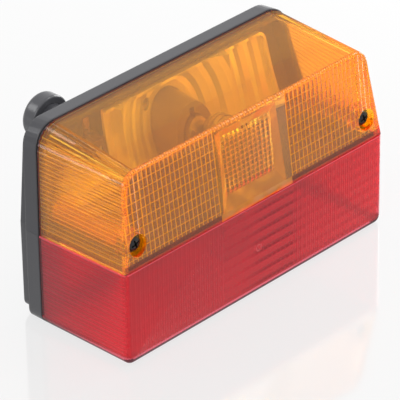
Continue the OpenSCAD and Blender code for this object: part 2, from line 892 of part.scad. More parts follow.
module stop_tail_bulb_cap() {
    bulb_cap(-bulb_down, [-contact_gap, contact_gap]);
}

// Stem, support wires and coils, as one glass-and-wire mount
module filament(z, heights) {
    base = cap_y - cap_h + cap_seat;
    stem = base - stem_l;
    color("#8f8f90") {
        rod(0, z, stem, base, stem_d);
        for (h = heights, side = [-1, 1])
            rod(side * support_gap, z + h[0], h[1], stem + 2, support_d);
        for (h = heights)
            translate([0, h[1] + support_d / 2, z + h[0]])
                rotate([0, 90, 0])
                    cylinder(d = coil_d, h = coil_l, center = true);
    }
}

// The coils hang in the middle of the round end of the glass
coil_y = cap_y - cap_h - glass_h + globe_d / 2;

module indicator_bulb_filament() {
    filament(bulb_up, [[0, coil_y]]);
}

module stop_tail_bulb_filaments() {
    filament(-bulb_down, [[-coil_gap, coil_y], [coil_gap, coil_y + coil_back]]);
}

// Flat run of strip on the floor between two corners
module strip(x0, z0, x1, z1) {
    slab(-floor_t - strip_t, -floor_t)
        translate([min(x0, x1) - strip_w / 2, min(z0, z1) - strip_w / 2])
            square([abs(x1 - x0) + strip_w, abs(z1 - z0) + strip_w]);
}

// Springy end of a strip that rises to a bulb contact
module leaf(z, w) {
    x0 = -holder_bore / 2 + 0.5;
    translate([0, 0, z - w / 2])
        linear_extrude(w)
            polygon([[x0 - 2, -floor_t], [x0 + 0.6, -floor_t], [-1.6, bulb_y + strip_t],
                [1.6, bulb_y + strip_t],
                [1.6, bulb_y], [-2, bulb_y], [x0, -floor_t - strip_t], [x0 - 2, -floor_t - strip_t]]);
}

module contact_strip(i, z, leaf_z, w) {
    x_end = -holder_bore / 2;
    color("#b8923c") {
        strip(terminal_x(i), block_z + block_h / 2, terminal_x(i), z);
        strip(terminal_x(i), z, x_end, z);
        leaf(leaf_z, w);
    }
}

module indicator_contact() {
    contact_strip(2, run_z, bulb_up, leaf_w);
}

module stop_contact() {
    contact_strip(1, -bulb_down + contact_gap, -bulb_down + contact_gap, strip_w);
}

module tail_contact() {
    contact_strip(0, -bulb_down - contact_gap, -bulb_down - contact_gap, strip_w);
}

// Earth: up from its terminal, along the top, down through the divider, with a finger at each cap
module earth_strap() {
    finger_x = cap_d / 2;
    color("#b8923c") {
        strip(terminal_x(3), block_z + block_h / 2, terminal_x(3), bus_z);
        strip(terminal_x(3), bus_z, bus_x, bus_z);
        strip(bus_x, bus_z, bus_x, -bulb_down);
        for (z = [bulb_up, -bulb_down]) {
            strip(bus_x, z, finger_x + strip_w / 2, z);
            translate([finger_x, cap_y - finger_h, z - strip_w / 2])
                cube([strip_t, -floor_t - cap_y + finger_h, strip_w]);
        }
    }
}

// Terminal block with wire holes in its top edge and a screw well over each
module terminal_block() {
    color("#3a3128")
        difference() {
            translate([-block_x - block_w / 2, -floor_t - block_t, block_z])
                cube([block_w, block_t, block_h]);
            for (i = [0:3]) {
                translate([terminal_x(i) - strip_w / 2 - slip, -floor_t - strip_t - slip, block_z - over])
                    cube([strip_w + 2 * slip, strip_t + over, block_h + 2 * over]);
                rod(terminal_x(i), block_z + block_h / 2, -floor_t - block_t - over, -floor_t - strip_t,
                    terminal_well_d);
                translate([terminal_x(i), -floor_t - strip_t - 1.6, block_z + block_h / 2])
                    cylinder(d = wire_hole_d, h = block_h);
            }
        }
}

module terminal_screws() {
    color("#b9bcc0")
        for (i = [0:3])
            difference() {
                rod(terminal_x(i), block_z + block_h / 2, -floor_t - block_t + terminal_sunk,
                    -floor_t - strip_t - slip, terminal_screw_d);
                translate([terminal_x(i) - terminal_screw_d, -floor_t - block_t,
                    block_z + (block_h - slot_w) / 2])
                    cube([2 * terminal_screw_d, slot_h, slot_w]);
            }
}

module holder_screws() {
    color("#b9bcc0")
        for (z = [bulb_up, -bulb_down], side = [-1, 1])
            difference() {
                union() {
                    rod(side * ear_x, z - side * ear_z, pad_y - flange_t - ear_head_h, pad_y - flange_t,
                        ear_head_d);
                    rod(side * ear_x, z - side * ear_z, pad_y - flange_t - eps, ear_tip_y, ear_screw_d);
                }
                translate([side * ear_x - ear_head_d, pad_y - flange_t - ear_head_h - slot_w,
                    z - side * ear_z - slot_w / 2])
                    cube([2 * ear_head_d, slot_h, slot_w]);
            }
}

// Rubber cap pushed over the spigot, rounded at both ends, with the hole for the cable
module cable_grommet() {
    r = grommet_d / 2;
    edge = 2.4;
    color("#1b1c1e")
        translate([-entry_x, grommet_y, entry_z])
            rotate([-90, 0, 0])
                difference() {
                    rotate_extrude()
                        polygon(concat([[0, 0]], arc(r - 1, 1, 1, -90, 0, 4),
                            arc(r - edge, grommet_h - edge, edge, 0, 90, 8), [[0, grommet_h]]));
                    translate([0, 0, -over])
                        cylinder(d = spigot_d + 2 * slip, h = grommet_h - grommet_end + over);
                    translate([0, 0, -over])
                        cylinder(d = cable_d, h = grommet_h + 2 * over);
                }
}

housing();
lens_seal();
indicator_reflector();
stop_tail_reflector();
amber_lens();
red_lens();
lens_screw_left();
lens_screw_right();
screw_washer_left();
screw_washer_right();
indicator_holder();
indicator_bulb_glass();
indicator_bulb_cap();
indicator_bulb_filament();
indicator_contact();
stop_tail_holder();
stop_tail_bulb_glass();
stop_tail_bulb_cap();
stop_tail_bulb_filaments();
stop_contact();
tail_contact();
earth_strap();
terminal_block();
terminal_screws();
holder_screws();
cable_grommet();
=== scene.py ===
"""Looks of a two-colour rear lamp: fluted amber and red lenses, metallised inside, black housing."""
import math

import bmesh
import bpy
from mathutils import Matrix, Vector


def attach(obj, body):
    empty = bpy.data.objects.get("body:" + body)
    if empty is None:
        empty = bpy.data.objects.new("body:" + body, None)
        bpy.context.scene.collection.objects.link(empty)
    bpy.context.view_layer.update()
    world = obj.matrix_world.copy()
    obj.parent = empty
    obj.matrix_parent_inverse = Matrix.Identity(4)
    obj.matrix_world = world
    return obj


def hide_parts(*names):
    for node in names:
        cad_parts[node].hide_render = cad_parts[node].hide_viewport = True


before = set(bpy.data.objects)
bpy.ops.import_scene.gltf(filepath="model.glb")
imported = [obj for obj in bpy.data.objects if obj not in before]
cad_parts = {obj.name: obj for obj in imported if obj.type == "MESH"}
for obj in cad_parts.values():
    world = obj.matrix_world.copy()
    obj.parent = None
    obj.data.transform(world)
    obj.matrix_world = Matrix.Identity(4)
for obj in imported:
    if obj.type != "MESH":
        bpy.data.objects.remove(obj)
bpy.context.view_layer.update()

# Lens sizes in metres, from the part's source: y of the back and fronts, half widths, heights, wall
SEAM = -0.0136
AMBER_FRONT = -0.0614
RED_FRONT = -0.0618
AMBER_HALF, AMBER_TALL = 0.0796, 0.0461
RED_HALF, RED_TALL = 0.08, 0.0437
WALL = 0.0024
# The amber half leans back and its ends lean in; both fronts are narrower than their backs
LEAN = math.radians(6.8)
TAPER = math.tan(math.radians(7.2))
DRAFT = 0.0016
# Relief: flutes of the amber front on each side, rows behind it, bars behind the red front, fine ribs
FLUTES, FLUTE_FIRST, FLUTE_PITCH = 21, 0.0219, 0.00254
ROWS, ROW_FIRST, ROW_PITCH = 8, 0.0048, 0.00405
BARS, BAR_FIRST, BAR_PITCH = 8, -0.0389, 0.005
VALLEY_WIDE, VALLEY_DEEP = 0.0009, 0.0004
RIB_PITCH, RIB_VALLEY = 0.00135, 0.0009
# Half widths of the smooth zones, the plain strip below the flutes, the pale painted highlight along the edge
# between the colours
AMBER_ZONE = 0.0209
RED_ZONE = 0.0215
BORDER = 0.0032
PARTING = 0.0007
# Axes of the lens screws, the indicator bulb and the mould's gate
SCREW_X, SCREW_Z = 0.0694, 0.010
BULB_Z = 0.0222
GATE_Z, GATE_R = -0.02185, 0.0015
# The lamp stands on its red foot
FLOOR_Z = -RED_TALL
# Vertices nearer than this to a plane lie in it, and cuts nearer than this to a vertex use it
IN_PLANE = 1e-6
ON_CUT = 1e-7


# Materials

def linear(code):
    """A hex sRGB colour as linear red, green, blue and one."""
    rgb = [int(code[i:i + 2], 16) / 255 for i in (1, 3, 5)]
    return [c / 12.92 if c <= 0.04045 else ((c + 0.055) / 1.055) ** 2.4 for c in rgb] + [1.0]


def add(tree, kind, inputs, **settings):
    """Adds a node, sets it, and fills its inputs or links them to a socket or to a node's first output."""
    n = tree.nodes.new("ShaderNode" + kind)
    for key, value in settings.items():
        setattr(n, key, value)
    for key, value in inputs.items():
        if isinstance(value, bpy.types.Node):
            value = value.outputs[0]
        if isinstance(value, bpy.types.NodeSocket):
            tree.links.new(value, n.inputs[key])
        else:
            n.inputs[key].default_value = value
    return n


def material(name):
    m = bpy.data.materials.new(name)
    m.use_nodes = True
    m.node_tree.nodes.clear()
    return m, m.node_tree


def place(tree):
    """Object coordinates, split into x, y and z in metres."""
    split = add(tree, "SeparateXYZ", {0: add(tree, "TexCoord", {}).outputs["Object"]})
    return split.outputs["X"], split.outputs["Y"], split.outputs["Z"]


def from_axis(tree, height):
    """Distance from an axis that runs from front to back through the lamp's middle at a height."""
    x, _, z = place(tree)
    rise = add(tree, "Math", {0: z, 1: height}, operation="SUBTRACT")
    flat = add(tree, "CombineXYZ", {"X": x, "Z": rise})
    return add(tree, "VectorMath", {0: flat}, operation="LENGTH").outputs["Value"]


def grain(tree, size, detail=3.0):
    """Noise in object space whose grains are about size metres across."""
    coords = add(tree, "TexCoord", {}).outputs["Object"]
    inputs = {"Vector": coords, "Scale": 1 / size, "Detail": detail, "Roughness": 0.6}
    return add(tree, "TexNoise", inputs).outputs["Fac"]


def ridges(tree, along, pitch, width, start=0.0):
    """Height of a ribbed surface: flat lands with a valley of the given width at every pitch."""
    shifted = add(tree, "Math", {0: along, 1: start}, operation="SUBTRACT")
    wave = add(tree, "Math", {0: shifted, 1: pitch / 2}, operation="PINGPONG")
    slope = add(tree, "Math", {0: wave, 1: width / 2}, operation="DIVIDE")
    return add(tree, "Math", {0: slope, 1: 1.0}, operation="MINIMUM")


def lines(tree, along, pitch, width, start=0.0):
    """One in the middle of each line of a row of fine lines, falling to none at its edges."""
    return add(tree, "Math", {0: 1.0, 1: ridges(tree, along, pitch, width, start)}, operation="SUBTRACT")


def amber_flute_painted_highlights(tree):
    """Painted highlights in the valleys between the flutes of the amber front."""
    x = add(tree, "Math", {0: place(tree)[0]}, operation="ABSOLUTE")
    return lines(tree, x, FLUTE_PITCH, width=0.0008, start=FLUTE_FIRST)


def cross_row_painted_highlights(tree):
    """Painted highlights along the rows cut across behind the amber flutes."""
    upright = math.cos(LEAN)
    return lines(tree, place(tree)[2], ROW_PITCH * upright, VALLEY_WIDE, ROW_FIRST * upright)


def end_rib_painted_highlights(tree):
    """Painted highlights along the ribs of the ends, drawn coarser than their real pitch, which is too fine to
    show.
    """
    return lines(tree, place(tree)[2], pitch=0.0019, width=0.0010)


def pad_face_painted_highlights(tree):
    """Painted highlights on the pad's face: upright lines in its valleys, level ones closer together than its
    cross cuts.
    """
    x, _, z = place(tree)
    upright = lines(tree, x, FLUTE_PITCH, width=0.0008)
    level = lines(tree, z, pitch=0.0022, width=0.0008)
    return add(tree, "Math", {0: upright, 1: level}, operation="MAXIMUM")


def bowl_steps(tree):
    """Shallow steps round the indicator bulb's axis, spaced as the arcs in the photo."""
    return ridges(tree, from_axis(tree, BULB_Z), pitch=0.0085, width=0.0050)


def seal_gap_painted_shade(tree):
    """Painted shade on the last millimetre of a lens before the housing, in the gap at the joint over the dark
    seal.
    """
    _, y, z = place(tree)
    above = add(tree, "Math", {0: z, 1: 0.0}, operation="MAXIMUM")
    lean = add(tree, "Math", {0: above, 1: math.tan(LEAN)}, operation="MULTIPLY")
    back = add(tree, "Math", {0: y, 1: lean}, operation="SUBTRACT")
    return add(tree, "MapRange", {"Value": back, "From Min": SEAM - 0.0013, "From Max": SEAM - 0.0008})


def gate_ring(tree):
    """The ring that the mould's gate leaves in the middle of the red front."""
    radius, half_width = 0.0014, 0.0006
    past = add(tree, "Math", {0: from_axis(tree, GATE_Z), 1: radius}, operation="SUBTRACT")
    off = add(tree, "Math", {0: past}, operation="ABSOLUTE")
    return add(tree, "MapRange", {"Value": off, "From Min": half_width, "From Max": 0.0})


def red_flute_painted_highlights(tree):
    """Painted highlights on every second flute of the red front, because their real pitch is too fine to show.
    """
    return lines(tree, place(tree)[0], 2 * RIB_PITCH, width=0.0012)


def bar_painted_shade(tree):
    """Painted shade along the bars behind the red front, broken up by its flutes and strongest just right of
    the middle.
    """
    x, _, z = place(tree)
    rows = lines(tree, z, BAR_PITCH, width=0.0022, start=BAR_FIRST)
    flutes = ridges(tree, x, 2 * RIB_PITCH, width=0.0012)
    left = add(tree, "MapRange", {"Value": x, "From Min": -0.010, "From Max": 0.002, "To Min": 0.3})
    right = add(tree, "MapRange", {"Value": x, "From Min": 0.020, "From Max": 0.030, "To Min": 1.0,
                                   "To Max": 0.45})
    dashes = add(tree, "Math", {0: rows, 1: flutes}, operation="MULTIPLY")
    middle = add(tree, "Math", {0: left, 1: right}, operation="MULTIPLY")
    return add(tree, "Math", {0: dashes, 1: middle}, operation="MULTIPLY")


def ribs(axis, depth):
    """Relief of fine ribs that follow each other along an axis."""
    return lambda tree: add(tree, "Bump", {"Height": ridges(tree, place(tree)[axis], RIB_PITCH, RIB_VALLEY),
                                           "Distance": depth, "Strength": 1.0})


def pad_waves(tree):
    """Broad waves of the pad's sloping sides, which break up what shows through them."""
    waves = grain(tree, size=0.009, detail=0.0)
    return add(tree, "Bump", {"Height": waves, "Distance": 0.004, "Strength": 1.0})


def let_lamps_through(tree, shader, shade):
    """Lets lamp light pass as coloured light, so that what lies behind is lit, and closes the material."""
    passing = add(tree, "BsdfTransparent", {"Color": linear(shade)})
    ray = add(tree, "LightPath", {}).outputs["Is Shadow Ray"]
    add(tree, "OutputMaterial", {"Surface": add(tree, "MixShader", {0: ray, 1: shader, 2: passing})})


def clear_plastic(name, tint, shade, glow, haze, rough, relief=None, marks=()):
    """Moulded acrylic: its dye colours what passes the wall, its surface is polished, and a share of the
    light, the haze, is scattered in it, which makes it glow. Marks are painted lines laid over its relief,
    each with a haze and a tone of its own: paler ones are painted highlights, darker ones painted shade."""
    m, tree = material(name)
    tone = linear(glow)
    for mask, line_haze, line_tone in marks:
        at = mask(tree)
        haze = add(tree, "Mix", {0: at, 2: haze, 3: line_haze}, data_type="FLOAT").outputs[0]
        tone = add(tree, "Mix", {0: at, 6: tone, 7: linear(line_tone)}, data_type="RGBA").outputs[2]
    normal = {"Normal": relief(tree)} if relief else {}
    body = add(tree, "BsdfPrincipled", {"Base Color": linear(tint), "Roughness": rough, "IOR": 1.49,
                                        "Transmission Weight": 1.0, **normal})
    through = add(tree, "BsdfTranslucent", {"Color": tone, **normal})
    back = add(tree, "BsdfPrincipled", {"Base Color": tone, "Roughness": rough, **normal})
    milk = add(tree, "MixShader", {0: 0.5, 1: through, 2: back})
    let_lamps_through(tree, add(tree, "MixShader", {0: haze, 1: body, 2: milk}), shade)
    return m


def blown_glass(name):
    m, tree = material(name)
    body = add(tree, "BsdfPrincipled", {"Base Color": linear("#F6FAFA"), "Roughness": 0.0, "IOR": 1.5,
                                        "Transmission Weight": 1.0})
    let_lamps_through(tree, body, "#F0F4F4")
    return m


def opaque(name, colour, rough, metallic=0.0, grain_size=0.0004, depth=0.00003, vary=0.06, edge=0.0,
           shine=0.5, steps=None):
    """A solid finish with fine relief, a little change in tone and roughness, and softly rounded edges where
    edge is set. Grains are coarser than the real ones, which are too fine to show."""
    m, tree = material(name)
    fine = grain(tree, grain_size)
    base = linear(colour)[:3]
    low = [c * (1 - vary) for c in base] + [1.0]
    high = [min(1.0, c * (1 + vary)) for c in base] + [1.0]
    broad = grain(tree, size=0.02, detail=2.0)
    tone = add(tree, "Mix", {0: broad, 6: low, 7: high}, data_type="RGBA").outputs[2]
    gloss = add(tree, "MapRange", {"Value": fine, "To Min": rough * 0.85, "To Max": min(1.0, rough * 1.15)})
    rounded = {"Normal": add(tree, "Bevel", {"Radius": edge}, samples=8)} if edge else {}
    normal = add(tree, "Bump", {"Height": fine, "Distance": depth, "Strength": 1.0, **rounded})
    if steps:
        normal = add(tree, "Bump", {"Height": steps(tree), "Distance": 0.0009, "Strength": 1.0,
                                    "Normal": normal})
    body = add(tree, "BsdfPrincipled", {"Base Color": tone, "Metallic": metallic, "Roughness": gloss,
                                        "Normal": normal, "Specular IOR Level": shine})
    add(tree, "OutputMaterial", {"Surface": body})
    return m


# Amber acrylic, injection moulded: bright orange where light passes one wall, deep orange through two
AMBER = ("#FFD446", "#FFEA90", "#FFAE18")
# The polished amber, with painted shade at its foot by the housing
amber_clear = clear_plastic("amber_acrylic_polished", *AMBER, haze=0.13, rough=0.02,
                            marks=[(seal_gap_painted_shade, 0.85, "#6A2008")])
# Painted highlights along the ribs of the ends, and painted shade at their foot
amber_end = clear_plastic("amber_acrylic_ribbed_ends", *AMBER, haze=0.24, rough=0.07, relief=ribs(2, 0.00011),
                          marks=[(end_rib_painted_highlights, 0.42, "#FFCA40"), (seal_gap_painted_shade, 0.85, "#6A2008")])
# The fluted front: a deeper orange than the rest of the amber, with painted highlights along its flutes and
# along the rows cut behind them
amber_front = clear_plastic("amber_acrylic_fluted_front", "#FFBA3E", "#FFEA90", "#FFA016", haze=0.16,
                            rough=0.03,
                            marks=[(cross_row_painted_highlights, 0.75, "#FFBA3E"), (amber_flute_painted_highlights, 0.85, "#FFC246")])
# Pale painted highlights, as beads where the flutes cross the top rounding of the front
amber_edge_painted_highlight = clear_plastic("amber_acrylic_fluted_edge_painted_highlight", *AMBER, haze=0.25, rough=0.02,
                           marks=[(amber_flute_painted_highlights, 0.8, "#FFDCA4")])
# The plain strip below the flutes: a darker, smoked copy of the amber, painted shade
amber_strip_painted_shade = clear_plastic("amber_acrylic_plain_strip_painted_shade", "#C87838", "#E8C090", "#8A4014", haze=0.45, rough=0.03)
# Painted highlights on the pad's face
amber_pad = clear_plastic("amber_acrylic_cross_cut_pad", *AMBER, haze=0.14, rough=0.03,
                          marks=[(pad_face_painted_highlights, 0.6, "#FFC440")])
# The pad's sloping sides and the plain strip under the pad: a brighter, glowing copy of the amber, painted
# light
amber_bevel_painted_light = clear_plastic("amber_acrylic_pad_sides_painted_light", "#FFD440", "#FFE88C", "#FFBC30", haze=0.4,
                            rough=0.03, relief=pad_waves)
# Red acrylic, injection moulded: a denser dye, so the inside shows only as bands of light and shade; the dark
# bars are painted shade over the real ones
RED = ("#FA3850", "#FF8490", "#E01438")
# Painted shade along the bars behind the front
red_clear = clear_plastic("red_acrylic_polished", *RED, haze=0.4, rough=0.05,
                          marks=[(bar_painted_shade, 0.85, "#700C1C"), (gate_ring, 0.75, "#FF9CA0")])
# Painted highlights on every second flute, and painted shade along the bars
red_front = clear_plastic("red_acrylic_fine_flutes", *RED, haze=0.42, rough=0.05, relief=ribs(0, 0.00003),
                          marks=[(red_flute_painted_highlights, 0.46, "#E42C46"), (bar_painted_shade, 0.8, "#7C0E20")])
# Painted highlights along the ribs of the ends, and painted shade at their foot
red_end = clear_plastic("red_acrylic_ribbed_ends", *RED, haze=0.4, rough=0.05, relief=ribs(2, 0.00005),
                        marks=[(end_rib_painted_highlights, 0.5, "#F04058"), (seal_gap_painted_shade, 0.85, "#600818")])
# The foot of the red lens: a darker copy of the red, painted shade
red_foot_painted_shade = clear_plastic("red_acrylic_foot_painted_shade", "#80182C", "#C04858", "#580A1C", haze=0.85, rough=0.06)
# A pale painted highlight along the edge next to the amber
red_parting_painted_highlight = clear_plastic("red_acrylic_parting_edge_painted_highlight", *RED[:2], "#F8788C", haze=0.8, rough=0.06)
# Soda glass, blown thin: clear, with only its edge and highlights showing
glass = blown_glass("soda_glass_blown")

# Black ABS, moulded in a lightly sparked steel tool: satin dark grey under light, softly lit along its edges
black_abs = opaque("black_abs_moulded", "#404044", 0.22, grain_size=0.0006, depth=0.000006, edge=0.0009,
                   shine=0.4)
# Black rubber, moulded: a little paler than the housing where light falls on it
rubber = opaque("black_rubber_moulded", "#4A4A4E", 0.22, grain_size=0.0008, depth=0.000008, edge=0.0004)
# ABS with vacuum-deposited aluminium: bright and slightly milky, in the bowl with soft arcs of light
metallised = opaque("metallised_abs", "#F6F4F0", 0.3, metallic=0.35, grain_size=0.003, depth=0.000005,
                    vary=0.02)
metallised_bowl = opaque("metallised_abs_stepped_bowl", "#F6F4F0", 0.2, metallic=0.5, grain_size=0.003,
                         depth=0.000005, vary=0.02, steps=bowl_steps)
# Steel, black zinc plated: satin, nearly black
black_zinc = opaque("black_zinc_steel", "#26272A", 0.32, metallic=0.6, depth=0.00001, edge=0.0002)
# Phenolic resin, pressed: dull, no darker than the mid brown that the photo shows round the bulb
resin = opaque("phenolic_resin_pressed", "#6E6052", 0.4, grain_size=0.0005, depth=0.00002)
# Phenolic resin, pressed, of the terminal block: dull dark brown
brown_resin = opaque("brown_phenolic_resin_pressed", "#4A3324", 0.4, grain_size=0.0005, depth=0.00002)
# Brass strip, stamped: warm yellow with soft reflections
brass = opaque("brass_strip_stamped", "#C9A050", 0.28, metallic=1.0, grain_size=0.0008, depth=0.00001)
# Brass caps, nickel plated: warm grey and bright
nickel = opaque("nickel_plated_brass", "#C9C2B2", 0.2, metallic=1.0, grain_size=0.001, depth=0.00001)
# Small steel screws, zinc plated: pale grey with soft reflections
zinc = opaque("zinc_plated_steel", "#B9BBBE", 0.3, metallic=1.0, grain_size=0.0006, depth=0.00001)
# Nickel wire, drawn: mid grey, dull
wire = opaque("nickel_wire_drawn", "#8E8E90", 0.35, metallic=1.0, grain_size=0.0006, depth=0.00001)

FINISH = {
    "housing": black_abs, "lens_seal": rubber, "cable_grommet": rubber, "screw_washer_left": rubber,
    "screw_washer_right": rubber, "indicator_reflector": metallised_bowl, "stop_tail_reflector": metallised,
    "lens_screw_left": black_zinc, "lens_screw_right": black_zinc, "indicator_holder": resin,
    "stop_tail_holder": resin, "terminal_block": brown_resin, "indicator_bulb_glass": glass,
    "stop_tail_bulb_glass": glass, "indicator_bulb_cap": nickel, "stop_tail_bulb_cap": nickel,
    "indicator_bulb_filament": wire, "stop_tail_bulb_filaments": wire, "indicator_contact": brass,
    "stop_contact": brass, "tail_contact": brass, "earth_strap": brass, "terminal_screws": zinc,
    "holder_screws": zinc,
}
for name, finish in FINISH.items():
    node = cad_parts[name]
    node.data.materials.clear()
    node.data.materials.append(finish)


# Lens shells

def to_object(bm, name):
    mesh = bpy.data.meshes.new(name)
    bm.to_mesh(mesh)
    bm.free()
    ob = bpy.data.objects.new(name, mesh)
    bpy.context.scene.collection.objects.link(ob)
    return ob


def opened(ob):
    bm = bmesh.new()
    bm.from_mesh(ob.data)
    return bm


def closed(bm, ob):
    bm.to_mesh(ob.data)
    bm.free()


def applied(ob):
    """Takes the modifiers into the mesh."""
    bpy.context.view_layer.update()
    mesh = bpy.data.meshes.new_from_object(ob.evaluated_get(bpy.context.evaluated_depsgraph_get()))
    ob.modifiers.clear()
    ob.data = mesh


def parted(bm, at, across):
    """Cuts edges where a plane crosses the mesh, and keeps both sides."""
    bmesh.ops.bisect_plane(bm, geom=bm.faces[:] + bm.edges[:] + bm.verts[:], dist=ON_CUT, plane_co=at,
                           plane_no=across)


def lens_skin(half, top, height, corner, front_corner, depth, drop, ribbed):
    """Outer skin of a lens, upright on z = 0, with its open back at y = 0 and its open side at z = 0. Half
    and top are its half widths below and above, corner and front_corner the radii of its upper corners at the
    back and front, and drop is how much lower its front is."""
    corner_rib, front_radius = 0.00045, 0.0025
    bm = bmesh.new()
    bmesh.ops.create_grid(bm, x_segments=1, y_segments=1, size=1.0)
    for v in bm.verts:
        high = v.co.y > 0
        v.co = Vector((math.copysign(top if high else half, v.co.x), height if high else 0.0, 0.0))
    lean_in = math.atan2(half - top, height)
    reach = corner / math.tan((math.pi / 2 + lean_in) / 2)
    bmesh.ops.bevel(bm, geom=[v for v in bm.verts if v.co.y > 0], offset=reach, offset_type="OFFSET",
                    segments=14, profile=0.5, affect="VERTICES", material=-1, clamp_overlap=True)
    # Every second point of the corners is sunk, which gives the broad ribs round them
    for side in (-1, 1) if ribbed else ():
        arc = [v for v in bm.verts if v.co.x * side > 0 and v.co.y > height / 50]
        arc.sort(key=lambda v: v.co.y - abs(v.co.x))
        centre = Vector((arc[-1].co.x, arc[-1].co.y - corner, 0))
        for v in arc[1:-1:2]:
            v.co += (centre - v.co).normalized() * corner_rib
    bmesh.ops.rotate(bm, cent=(0, 0, 0), matrix=Matrix.Rotation(math.pi / 2, 3, "X"), verts=bm.verts[:])
    made = bmesh.ops.extrude_face_region(bm, geom=bm.faces[:])["geom"]
    front_verts = [g for g in made if isinstance(g, bmesh.types.BMVert)]
    front = next(g for g in made if isinstance(g, bmesh.types.BMFace))
    bmesh.ops.translate(bm, vec=(0, -depth, 0), verts=front_verts)
    shrink_x, shrink_z = (half - DRAFT) / half, (height - drop) / height
    bmesh.ops.scale(bm, vec=(shrink_x, 1, shrink_z), verts=front_verts)
    tighter = front_corner / corner
    for side in (-1, 1):
        point = Vector((side * (top * shrink_x), -depth, height * shrink_z))
        arc = [v for v in front_verts if v.co.x * side > 0 and v.co.z > height / 50]
        bmesh.ops.scale(bm, vec=(tighter, 1, tighter), space=Matrix.Translation(-point), verts=arc)
    edges = [e for e in front.edges if max(v.co.z for v in e.verts) > 10 * IN_PLANE]
    bmesh.ops.bevel(bm, geom=edges, offset=front_radius, offset_type="OFFSET", segments=6, profile=0.5,
                    affect="EDGES", material=-1, clamp_overlap=True)
    gone = [f for f in bm.faces if any(all(abs(v.co[axis]) < IN_PLANE for v in f.verts) for axis in (1, 2))]
    bmesh.ops.delete(bm, geom=gone, context="FACES")
    bmesh.ops.recalc_face_normals(bm, faces=bm.faces[:])
    middle = min(bm.faces, key=lambda f: f.calc_center_median().y)
    if middle.normal.y > 0:
        bmesh.ops.reverse_faces(bm, faces=bm.faces[:])
    return bm


def walled(bm, name):
    """Gives the skin its wall, grown inwards and trimmed at the open back and the open side."""
    ob = to_object(bm, name)
    wall = ob.modifiers.new("wall", "SOLIDIFY")
    wall.thickness = WALL
    wall.offset = -1.0
    wall.use_even_offset = True
    applied(ob)
    for v in ob.data.vertices:
        v.co.y = min(v.co.y, 0.0)
        v.co.z = max(v.co.z, 0.0)
    return ob


def valleys(bm, chosen, axis, places, width, depth, reach):
    """Cuts a V across the chosen faces at each place along an axis, and sinks its middle line where reach
    allows it."""
    across = Vector((1, 0, 0)) if axis == 0 else Vector((0, 0, 1))
    faces = [f for f in bm.faces if chosen(f)]
    for at in places:
        for step in (-width / 2, 0.0, width / 2):
            geom = set(faces)
            for f in faces:
                geom.update(f.edges)
                geom.update(f.verts)
            bmesh.ops.bisect_plane(bm, geom=list(geom), dist=ON_CUT, plane_co=across * (at + step),
                                   plane_no=across)
            faces = [f for f in bm.faces if chosen(f)]
    bm.normal_update()
    sink = []
    for v in {v for f in faces for v in f.verts}:
        if reach(v) and any(abs(v.co[axis] - at) < 2 * IN_PLANE for at in places):
            sink.append((v, v.normal.copy()))
    for v, normal in sink:
        v.co -= normal * depth


def rod(name, x, z, front, back, radius):
    """A round rod that runs from front to back."""
    bm = bmesh.new()
    bmesh.ops.create_cone(bm, cap_ends=True, segments=48, radius1=radius, radius2=radius, depth=back - front)
    bmesh.ops.rotate(bm, cent=(0, 0, 0), matrix=Matrix.Rotation(math.pi / 2, 3, "X"), verts=bm.verts[:])
    bmesh.ops.translate(bm, vec=(x, (front + back) / 2, z), verts=bm.verts[:])
    return to_object(bm, name)


def combine(ob, tools):
    """Joins or cuts the tools, in order, and clears them away."""
    for kind, tool in tools:
        mod = ob.modifiers.new(kind, "BOOLEAN")
        mod.operation = kind
        mod.object = tool
        mod.solver = "MANIFOLD"
        applied(ob)
        bpy.data.objects.remove(tool)


def optic_pad():
    """The bevelled pad behind the amber front: a fluted, cross-cut face with sloping sides."""
    half_w, half_h, mid_z, thick = 0.014, 0.01325, 0.0213, 0.0032
    flute, cut = 0.0006, 0.0004
    base_half, base_taper, base_low, base_tall, lap = 0.0195, 0.0028, 0.0004, 0.0388, 0.0003
    cols, rows = 22, 12
    bm = bmesh.new()
    bmesh.ops.create_grid(bm, x_segments=cols, y_segments=rows, size=1.0)
    for v in bm.verts:
        col, row = round((v.co.x + 1) * cols / 2), round((v.co.y + 1) * rows / 2)
        inside = 0 < col < cols and 0 < row < rows
        sunk = flute * (col % 2) + cut * (row % 2) if inside else 0.0
        v.co = Vector((v.co.x * half_w, thick - sunk, mid_z + v.co.y * half_h))
    rim = [e for e in bm.edges if e.is_boundary]
    made = bmesh.ops.extrude_edge_only(bm, edges=rim)["geom"]
    for v in [g for g in made if isinstance(g, bmesh.types.BMVert)]:
        up = (v.co.z - mid_z + half_h) / (2 * half_h)
        wide = base_half - base_taper * up
        v.co = Vector((v.co.x * wide / half_w, -lap, base_low + up * base_tall))
    bmesh.ops.holes_fill(bm, edges=[e for e in bm.edges if e.is_boundary], sides=0)
    bmesh.ops.recalc_face_normals(bm, faces=bm.faces[:])
    return bm


def lean_back(bm):
    """Sets an upright lens at the seam, leaning back so that its colour line stays there."""
    m = Matrix(((1, 0, 0, 0), (0, 1, math.sin(LEAN), SEAM), (0, 0, math.cos(LEAN), 0), (0, 0, 0, 1)))
    bmesh.ops.transform(bm, matrix=m, verts=bm.verts[:])


def outer_front(depth):
    """Picks the faces of a lens's front and of the rounding round it."""
    rounding = 0.0027
    return lambda f: f.normal.y < -0.25 and f.calc_center_median().y < -depth + rounding


def inner_front(depth):
    """Picks the faces of the inside of a lens's front."""
    skin = 0.0006
    return lambda f: f.normal.y > 0.9 and f.calc_center_median().y < -depth + WALL + skin


